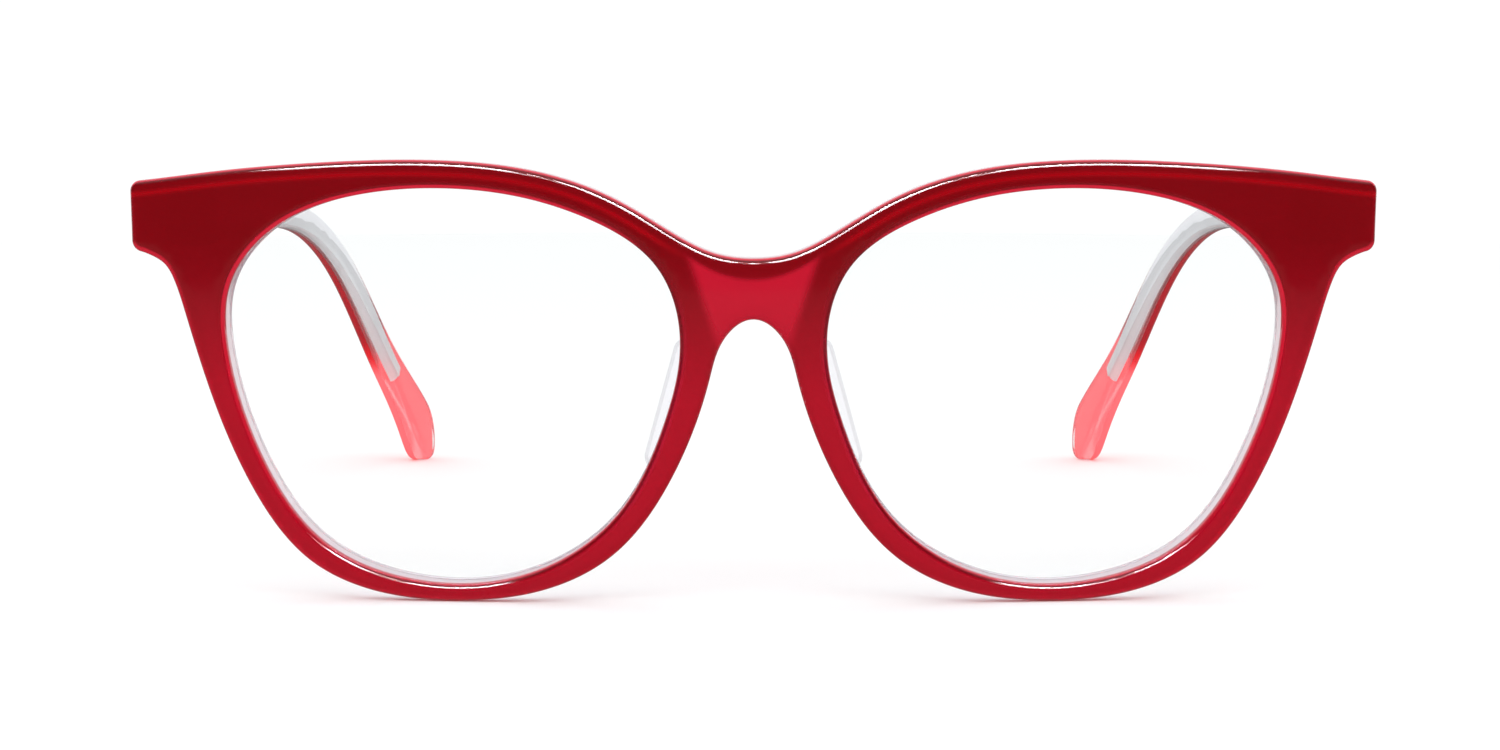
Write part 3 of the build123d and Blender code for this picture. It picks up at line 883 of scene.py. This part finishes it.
right_red = solid(
    "temple_red_right", butted, temple_loop, temple_in,
    quarter(TEMPLE_ROUNDING) + [(0, TEMPLE_RED + LAP)],
)
settle(right_red, "right_temple", "right_temple_red_layer", TEMPLE_RED_MATERIAL)
left_red = mirrored(right_red, "temple_red_left")
settle(left_red, "left_temple", "left_temple_red_layer", TEMPLE_RED_MATERIAL)

right_clear = solid(
    "temple_clear_right", butted, temple_loop, temple_in,
    [(0, TEMPLE_RED - LAP)] + rear_quarter(TEMPLE_ROUNDING, TEMPLE_THICKNESS),
)
settle(right_clear, "right_temple", "right_temple_clear_layer", TEMPLE_CLEAR_MATERIAL)
left_clear = mirrored(right_clear, "temple_clear_left")
settle(left_clear, "left_temple", "left_temple_clear_layer", TEMPLE_CLEAR_MATERIAL)

# ---- carried-over metal and pads -------------------------------------------------------------
for side in ("right", "left"):
    for name, material in (
        ("front_hinge", HINGE_METAL), ("temple_hinge", HINGE_METAL), ("temple_core", CORE_METAL),
        ("hinge_screw", SCREW_METAL), ("nose_pad", PAD_MATERIAL),
    ):
        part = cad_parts[f"{side}_{name}"]
        part.data.materials.clear()
        part.data.materials.append(material)

# ---- floor: from here on, in metres ----------------------------------------------------------
FLOOR_RADIUS = 0.42
FLOOR_SIDES = 96
PAPER = (0.92, 0.92, 0.92, 1)
PAPER_MIRRORED = (0.2, 0.2, 0.2, 1)


def floor_paper():
    """White paper, which mirrored rays see as dark."""
    material, tree = new_material("floor_paper")
    paper = node(tree, "ShaderNodeBsdfPrincipled", Roughness=0.9)
    paper.inputs["Base Color"].default_value = PAPER
    paper.inputs["Specular IOR Level"].default_value = 0.0
    dark = node(tree, "ShaderNodeEmission", Color=PAPER_MIRRORED)
    surface = mixed(tree, mirror_ray(tree), paper.outputs["BSDF"], dark.outputs["Emission"])
    out = tree.nodes.new("ShaderNodeOutputMaterial")
    tree.links.new(surface, out.inputs["Surface"])
    return material


floor_mesh = bpy.data.meshes.new("floor")
turns = [2 * pi * i / FLOOR_SIDES for i in range(FLOOR_SIDES)]
floor_points = [(FLOOR_RADIUS * cos(turn), FLOOR_RADIUS * sin(turn), 0.0) for turn in turns]
floor_mesh.from_pydata(floor_points, [], [tuple(range(FLOOR_SIDES))])
floor_mesh.materials.append(floor_paper())
floor = bpy.data.objects.new("floor", floor_mesh)
bpy.context.scene.collection.objects.link(floor)

# ---- the studio: each pair is the parts of a direction between which something comes in ------
STUDIO_WHITE = 1.04
SCREEN_BACK = (0.80, 0.95)
SCREEN_GREYS = (0.95, 0.38)        # round the screen, and on it
OVERHEAD_UP = (0.6, 0.95)
BACKDROP_BACK = (0.3, 0.6)
ROOM_DARK = (0.07, 0.07, 0.075, 1)
ROOM_LIT = (0.95, 0.94, 0.97, 1)
LAMPS_FROM = (0.44, 0.48)          # upwards
LAMPS_TO = (0.78, 0.74)
LAMPS_AHEAD = (-0.35, -0.45)       # back
WIDE_LAMP_FROM = (0.05, 0.08)      # sideways
WIDE_LAMP_TO = (0.42, 0.38)
NARROW_LAMP = (0.014, 0.008)
LAMP_BRIGHTNESS = 260.0            # over the dark room's


def strip_lamps(tree, sideways, back, up):
    """1 on the strip lamps above the camera: two wide ones, and a narrow one between them."""
    band = sums(tree, "MULTIPLY", ramp(tree, up, *LAMPS_FROM), ramp(tree, up, *LAMPS_TO))
    band = sums(tree, "MULTIPLY", band, ramp(tree, back, *LAMPS_AHEAD))
    aside = sums(tree, "ABSOLUTE", sideways, None)
    wide_from = ramp(tree, aside, *WIDE_LAMP_FROM)
    wide_to = ramp(tree, aside, *WIDE_LAMP_TO)
    wide = sums(tree, "MULTIPLY", wide_from, wide_to)
    lamps = sums(tree, "ADD", wide, ramp(tree, aside, *NARROW_LAMP))
    return sums(tree, "MULTIPLY", band, lamps)


def studio():
    """White all round. Rays that have passed through acetate see a darker screen behind the object
    at table height, and mirrored rays see a dark room with a light overhead, a pale backdrop and
    strip lamps."""
    world = bpy.data.worlds.new("studio")
    world.use_nodes = True
    tree = world.node_tree
    tree.nodes.clear()
    link = tree.links.new
    white = node(tree, "ShaderNodeBackground", Color=(1, 1, 1, 1), Strength=STUDIO_WHITE)
    screen = node(tree, "ShaderNodeBackground", Strength=1.0)
    room = tree.nodes.new("ShaderNodeBackground")
    direction = tree.nodes.new("ShaderNodeTexCoord")
    split = tree.nodes.new("ShaderNodeSeparateXYZ")
    link(direction.outputs["Generated"], split.inputs["Vector"])
    sideways, back, up = (split.outputs[key] for key in "XYZ")
    link(ramp(tree, back, *SCREEN_BACK, *SCREEN_GREYS), screen.inputs["Color"])
    lit = sums(tree, "MAXIMUM", ramp(tree, up, *OVERHEAD_UP), ramp(tree, back, *BACKDROP_BACK))
    link(mix_colour(tree, lit, ROOM_DARK, ROOM_LIT), room.inputs["Color"])
    lamps = strip_lamps(tree, sideways, back, up)
    link(sums(tree, "MULTIPLY_ADD", lamps, LAMP_BRIGHTNESS, 1.0), room.inputs["Strength"])

    path = tree.nodes.new("ShaderNodeLightPath")
    passed = path.outputs["Is Transmission Ray"]
    seen = mixed(tree, passed, white.outputs["Background"], screen.outputs["Background"])
    shown = mixed(tree, mirror_ray(tree), seen, room.outputs["Background"])
    out = tree.nodes.new("ShaderNodeOutputWorld")
    link(shown, out.inputs["Surface"])
    return world


def aim(thing, place, target):
    """Put a lamp or a camera at a place, facing a target."""
    thing.location = place
    thing.rotation_euler = (Vector(target) - Vector(place)).to_track_quat("-Z", "Y").to_euler()
    bpy.context.scene.collection.objects.link(thing)


bpy.context.scene.world = studio()

# a soft box above the camera, left out of reflections
soft_box = bpy.data.lights.new("key", "AREA")
soft_box.shape = "RECTANGLE"
soft_box.size = 1.0
soft_box.size_y = 0.3
soft_box.energy = 2.0
key = bpy.data.objects.new("key", soft_box)
key.visible_glossy = False
aim(key, place=(0, -0.62, 0.55), target=(0, -0.07, 0.03))

# ---- camera ----------------------------------------------------------------------------------
CAMERA_ELEVATION = 6.1             # degrees
CAMERA_DISTANCE = 0.8
SENSOR_WIDTH = 36.0                # millimetres, and so is the focal length
FOCAL_LENGTH = 171.936
FRAME_SHIFT = (-0.0023333, 0.0053333)      # as parts of the frame's width
camera_data = bpy.data.cameras.new("camera")
camera_data.sensor_width = SENSOR_WIDTH
camera_data.lens = FOCAL_LENGTH
camera_data.shift_x, camera_data.shift_y = FRAME_SHIFT
camera_data.clip_start = 0.01
camera = bpy.data.objects.new("camera", camera_data)
tilt = radians(CAMERA_ELEVATION)
middle = Vector(FRONT_ORIGIN) * MM
towards_camera = Vector((0, -cos(tilt), sin(tilt)))
aim(camera, place=middle + CAMERA_DISTANCE * towards_camera, target=middle)
bpy.context.scene.camera = camera
bpy.context.scene.view_settings.view_transform = "Standard"
